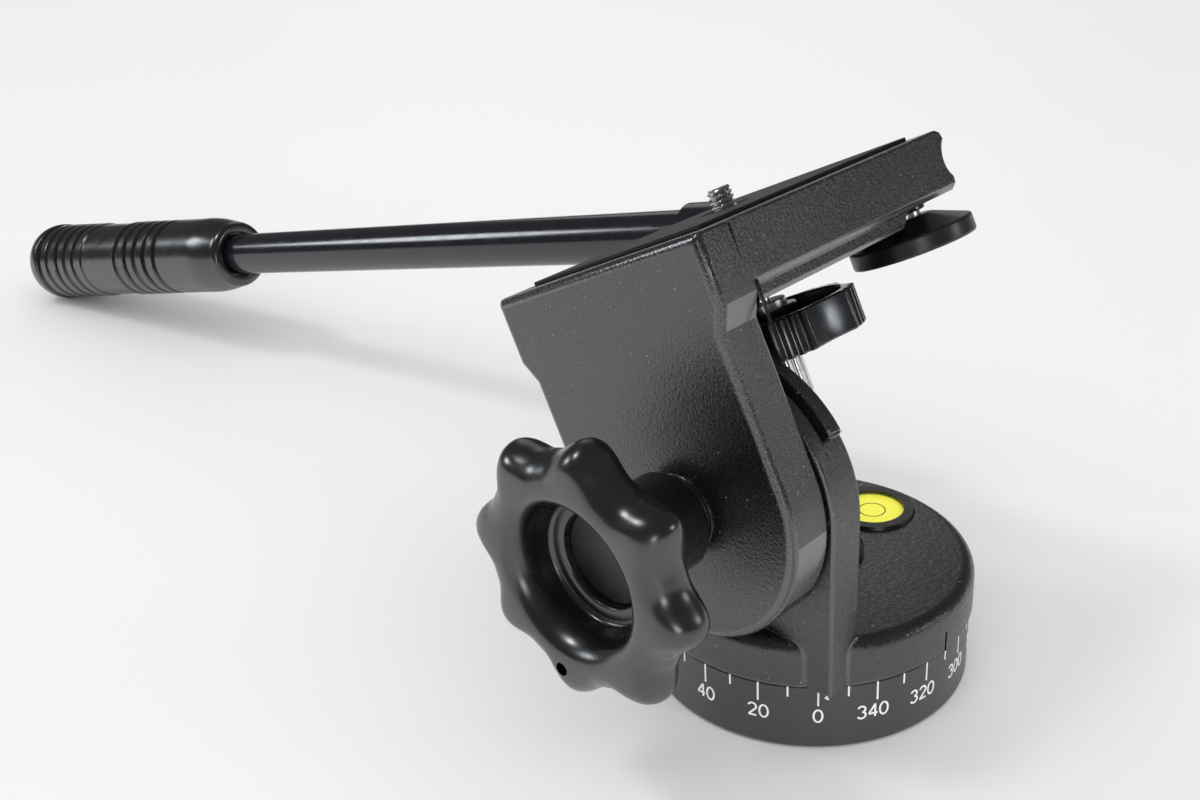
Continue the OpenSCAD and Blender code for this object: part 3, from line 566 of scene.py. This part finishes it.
star = make_piece("star_handwheel", [star_surface()], "tilt_knob", KNOB_PLASTIC, 50)
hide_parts("star_knob")
DISC_R, DISC_FRONT, DISC_BACK = CUP_STEP_R - 0.08, STAR_LOW + 13.3, STAR_LOW + CUP_DEEP - 0.05
recess = [[0, DISC_FRONT], [DISC_R - 0.22, DISC_FRONT], [DISC_R, DISC_FRONT + 0.2], [DISC_R, DISC_BACK], [0, DISC_BACK]]
disc = make_piece("recess_disc", [turned(KNOB_AXIS, recess)], "tilt_knob", DISC_PLASTIC)
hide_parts("knob_disc")
# the lobe's drilled hole is drawn as a flat matt black disc at its front: painted shade for the dark inside of the hole
hole = (on_axis(KNOB_AXIS, HOLE_AT, HOLE_TURN, 0.0),) + KNOB_AXIS[1:]
HOLE_FRONT, HOLE_BACK = STAR_LOW + 0.05, STAR_LOW + 3.0
hole_shade_disc = [[0, HOLE_FRONT], [HOLE_R - 0.1, HOLE_FRONT], [HOLE_R, HOLE_FRONT + 0.25], [HOLE_R, HOLE_BACK], [0, HOLE_BACK]]
make_piece("lobe_hole_shade", [turned(hole, hole_shade_disc, 32)], "tilt_knob", BLACK_INK_AND_HOLE_SHADE)


# camera screw
def wheel_surface(steps=720):
    """Rim section carried round the screw: groups of three grooves, and between them a larger circle's arc cut in."""
    angle = full_turn(steps)
    side = 360 / WHEEL_SIDES
    groups = WHEEL_TURN + side * np.arange(WHEEL_SIDES)[:, None]
    centres = np.radians(groups + RIB_APART * np.array([-1, 0, 1])[None, :]).ravel()
    away = np.abs((angle[:, None] - centres[None, :] + math.pi) % TAU - math.pi) * WHEEL_R
    dip = (RIB_DEEP * np.exp(-(away / RIB_HALF) ** 4)).sum(1)
    off = (angle - math.radians(WHEEL_TURN)) % math.radians(side) - math.radians(side / 2)
    far = WHEEL_R + SCOOP_R - SCOOP_DEEP
    scoop = np.maximum(0, WHEEL_R - far * np.cos(off) + np.sqrt(SCOOP_R ** 2 - (far * np.sin(off)) ** 2))
    low, high = WHEEL_LOW, WHEEL_LOW + WHEEL_T
    outside = np.concatenate([[[WHEEL_R - 1.0, low]], arc((WHEEL_R - 0.6, low + 0.6), 0.6, -80, 0, 5),
                              arc((WHEEL_R - 0.5, high - 0.5), 0.5, 0, 90, 5)])
    web, hub_r, hub_top, bore = low + 2.6, 8.5, low + 10.75, STEM_R + 0.05
    inside = np.array([[WHEEL_R - 2.9, high], [WHEEL_R - 3.2, high - 0.4], [WHEEL_R - 3.4, web + 0.8],
                       [WHEEL_R - 4.2, web], [hub_r + 0.6, web], [hub_r, web + 0.6], [hub_r, hub_top - 0.45],
                       [hub_r - 0.3, hub_top], [bore, hub_top], [bore, low]])
    r = np.concatenate([outside[:, :1] - (scoop + dip)[None, :], np.repeat(inside[:, :1], steps, 1)])
    z = np.concatenate([outside[:, 1:], inside[:, 1:]])
    return on_axis(STUD_AXIS, r, angle[None, :], z), True, True


wheel = make_piece("thumbwheel", [wheel_surface()], "camera_screw", WHEEL_PLASTIC)
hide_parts("camera_wheel")


def fluted_stem(steps=168):
    """Stem whose radius dips in flutes below the wheel, with a bevelled lower end, a flange on top and the shank."""
    angle = full_turn(steps)
    flute = FLUTE_DEEP * (0.5 + 0.5 * np.cos(FLUTES * angle)) ** 2
    shank = STUD_R - 0.5
    section = np.array([[0, STEM_LOW], [STEM_R - 0.9, STEM_LOW], [STEM_R, STEM_LOW + 0.9], [STEM_R, WHEEL_LOW - 0.8],
                        [STEM_R, WHEEL_LOW - 0.3], [STEM_R, FLANGE_LOW], [FLANGE_R, FLANGE_LOW],
                        [FLANGE_R, FLANGE_TOP - 0.3], [FLANGE_R - 0.3, FLANGE_TOP], [shank, FLANGE_TOP],
                        [shank, THREAD_LOW], [0, THREAD_LOW]])
    depth = np.array([0, 0, 1, 1, 0, 0, 0, 0, 0, 0, 0, 0.0])
    r = section[:, :1] - depth[:, None] * flute[None, :]
    return on_axis(STUD_AXIS, r, angle[None, :], section[:, 1:]), False, True


def thread(steps=72, rows=110):
    """Screw thread: radius minus the depth times a triangle wave of (height / pitch - angle / turn), tip bevelled."""
    angle = full_turn(steps)[None, :]
    z = np.linspace(THREAD_LOW, THREAD_TOP, rows)[:, None]
    phase = (z / PITCH - angle / TAU) % 1.0
    wave = np.clip(np.abs(phase - 0.5) * 2.6 - 0.25, 0, 1)
    bevel_h, bevel_w = 0.7, 0.55
    tip = np.clip((z - (THREAD_TOP - bevel_h)) / bevel_h, 0, 1)
    r = np.minimum(STUD_R - THREAD_DEEP * wave, STUD_R - bevel_w * tip)
    body = on_axis(STUD_AXIS, r, angle, z)
    foot, head = (np.repeat(on_axis(STUD_AXIS, [[0.0]], 0.0, [[end]]), steps, 1) for end in (THREAD_LOW, THREAD_TOP))
    return np.concatenate([foot, body, head]), False, True


stud = make_piece("threaded_stud", [fluted_stem(), thread()], "camera_screw", ZINC, 40)
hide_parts("camera_stud")


# handle
SLEEVE_LEN = GRIP_LEN - CAP_LEN
MOUTH_R, MOUTH_LEN, LIP_R, COLLAR_LEN, TAPER_FROM = 13.2, 3, 11.0, 18, 27


def grip_outline():
    """Outer radius along the grip: rounded mouth, collar swelling as a sine to the neck, straight taper to the end,
    narrow grooves with smooth walls on both sides of a sunk band."""
    s = np.concatenate([np.linspace(0, MOUTH_LEN, 9), np.linspace(3.5, 34, 20), np.linspace(34.2, SLEEVE_LEN, 420)])
    mouth = LIP_R + (MOUTH_R - LIP_R) * np.sqrt(1 - (1 - np.clip(s / MOUTH_LEN, 0, 1)) ** 2)
    swell = np.clip((s - MOUTH_LEN) / (COLLAR_LEN - MOUTH_LEN), 0, 1)
    collar = MOUTH_R + (NECK_R - MOUTH_R) * np.sin(swell * math.pi / 2)
    taper = NECK_R + (GRIP_R - NECK_R) * np.clip((s - TAPER_FROM) / (SLEEVE_LEN - TAPER_FROM), 0, 1)
    r = np.where(s < MOUTH_LEN, mouth, np.where(s < COLLAR_LEN, collar, taper))
    for start in (35.0, BAND_TO + 0.5):
        t = (s - start) / GROOVE_STEP
        groove = np.clip((0.24 - np.abs(t % 1.0 - 0.72)) / 0.10, 0, 1)
        r = r - GROOVE_DEEP * groove * groove * (3 - 2 * groove) * ((t > 0) & (t < GROOVES))
    band = np.clip((s - BAND_FROM) / 0.8, 0, 1) * np.clip((BAND_TO - s) / 0.8, 0, 1)
    return np.stack([r - BAND_DEEP * band, s + GRIP_FROM], 1)


SLEEVE_BORE, MOUTH_BORE, MOUTH_DEEP = TUBE_R + 0.03, 9.1, 4.0
sleeve = np.concatenate([
    [[SLEEVE_BORE, GRIP_FROM + MOUTH_DEEP], [MOUTH_BORE, GRIP_FROM + MOUTH_DEEP], [MOUTH_BORE, GRIP_FROM + 0.4]],
    grip_outline(), [[SLEEVE_BORE, GRIP_FROM + SLEEVE_LEN], [SLEEVE_BORE, GRIP_FROM + MOUTH_DEEP]]])
grip = make_piece("handle_sleeve", [turned(HANDLE_AXIS, sleeve, 128)], "handle", GRIP_RUBBER, 40)
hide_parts("handle_grip")
CAP_LOW, CAP_ROUND = GRIP_FROM + SLEEVE_LEN + 0.05, 12
bulb = np.concatenate([[[0, CAP_LOW], [GRIP_R - 0.8, CAP_LOW]], arc((GRIP_R - 0.6, CAP_LOW + 1.0), 1.0, -80, 0, 6),
                       arc((GRIP_R + 0.4 - CAP_ROUND, CAP_LOW + 1.95), CAP_ROUND, 0, 90, 18),
                       [[0, CAP_LOW + 1.95 + CAP_ROUND]]])
cap = make_piece("end_bulb", [turned(HANDLE_AXIS, bulb, 128)], "handle", GRIP_RUBBER, 40)
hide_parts("grip_cap")
TUBE_BORE, TUBE_BEVEL = TUBE_R - TUBE_WALL, 0.3
tube_line = [[TUBE_BORE, TUBE_FROM], [TUBE_R - TUBE_BEVEL, TUBE_FROM], [TUBE_R, TUBE_FROM + TUBE_BEVEL],
             [TUBE_R, TUBE_TO - TUBE_BEVEL], [TUBE_R - TUBE_BEVEL, TUBE_TO], [TUBE_BORE, TUBE_TO],
             [TUBE_BORE, TUBE_FROM]]
tube = make_piece("pan_bar", [turned(HANDLE_AXIS, tube_line, 128)], "handle", TUBE_BLACK)
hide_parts("handle_tube")

# table, light and camera
floor_mat, floor_tree, floor_shader = new_finish("table_sheet", (0.9, 0.89, 0.875), 0.55)
floor_tone = tint(floor_tree, noise(floor_tree, 3, 3), (0.885, 0.877, 0.86), (0.915, 0.907, 0.892))
link(floor_tree, floor_tone, floor_shader.inputs["Base Color"])
TABLE_HALF, TABLE_ROWS = 4, 9
table_x, table_y = np.meshgrid(*[np.linspace(-TABLE_HALF, TABLE_HALF, TABLE_ROWS)] * 2, indexing="ij")
table_points = np.stack([table_x, table_y, np.zeros_like(table_x)], -1).reshape(-1, 3)
floor_mesh = bpy.data.meshes.new("table")
floor_mesh.from_pydata(table_points, [], grid_faces(TABLE_ROWS, TABLE_ROWS, False, False)[:, ::-1].tolist())
floor_mesh.materials.append(floor_mat)
table = bpy.data.objects.new("table", floor_mesh)
bpy.context.scene.collection.objects.link(table)


def pose(right, up, back, where):
    """Matrix with the three directions as its axes, at a place."""
    return Matrix(np.vstack([np.column_stack([right, up, back, where]), [0, 0, 0, 1]]))


def soft_box(name, where, aim, size, power, colour=(1, 1, 1)):
    """Square area light at a place, turned to face the aim; not seen by the camera itself."""
    data = bpy.data.lights.new(name, "AREA")
    data.shape, data.size, data.size_y, data.energy, data.color = "RECTANGLE", size, size, power, colour
    lamp = bpy.data.objects.new(name, data)
    bpy.context.scene.collection.objects.link(lamp)
    way = unit(np.asarray(aim) - where)
    right = unit(np.cross(way, [0, 0, 1]))
    lamp.matrix_world = pose(right, np.cross(right, way), -way, where)
    lamp.visible_camera = False


soft_box("top_box", (-1.2, -1.1, 2.6), (0, 0, 0.05), 0.5, 15)
soft_box("window_box", (2.5, 1.6, 0.9), (0, 0, 0.05), 0.6, 6, (0.86, 0.93, 1.0))
soft_box("right_box", (2.4, -1.9, 0.62), (0, 0, 0.1), 0.8, 10, (0.9, 0.95, 1.0))
soft_box("left_box", (-2.8, -1.6, 1.55), (-0.2, 0, 0.1), 0.8, 17, (0.88, 0.94, 1.0))
soft_box("back_box", (-2.2, 2.4, 1.7), (0, 0, 0.05), 2.0, 8)


def sky_light(name, energy, angle, origin):
    """Sun lamp with a wide disc: light from a whole part of the sky, left out of reflections."""
    data = bpy.data.lights.new(name, "SUN")
    data.energy, data.angle = energy, math.radians(angle)
    lamp = bpy.data.objects.new(name, data)
    bpy.context.scene.collection.objects.link(lamp)
    lamp.matrix_world = Vector(origin).to_track_quat("Z", "Y").to_matrix().to_4x4()
    lamp.visible_glossy = False


sky_light("broad_sky", 1.45, 175, (0.1, -0.2, 1.0))
sky_light("front_sky", 1.32, 90, (0.8, -0.5, 1.0))
world = bpy.data.worlds.new("studio")
bpy.context.scene.world = world
world.use_nodes = True
background = world.node_tree.nodes["Background"]
background.inputs["Color"].default_value = (1.0, 0.985, 0.965, 1)
background.inputs["Strength"].default_value = 0.11
bpy.context.scene.view_settings.view_transform = "Standard"

CAMERA_AT = np.array([185.15, -258.88, 230.42]) * MM
FORWARD, UP = unit([-0.6356, 0.6371, -0.4361]), np.array([-0.2641, 0.3514, 0.8982])
RIGHT = unit(np.cross(FORWARD, UP))
lens = bpy.data.cameras.new("camera")
lens.sensor_fit, lens.sensor_width, lens.lens, lens.clip_start = "HORIZONTAL", 36.0, 42.31, 0.01
camera = bpy.data.objects.new("camera", lens)
bpy.context.scene.collection.objects.link(camera)
camera.matrix_world = pose(RIGHT, np.cross(RIGHT, FORWARD), -FORWARD, CAMERA_AT)
bpy.context.scene.camera = camera
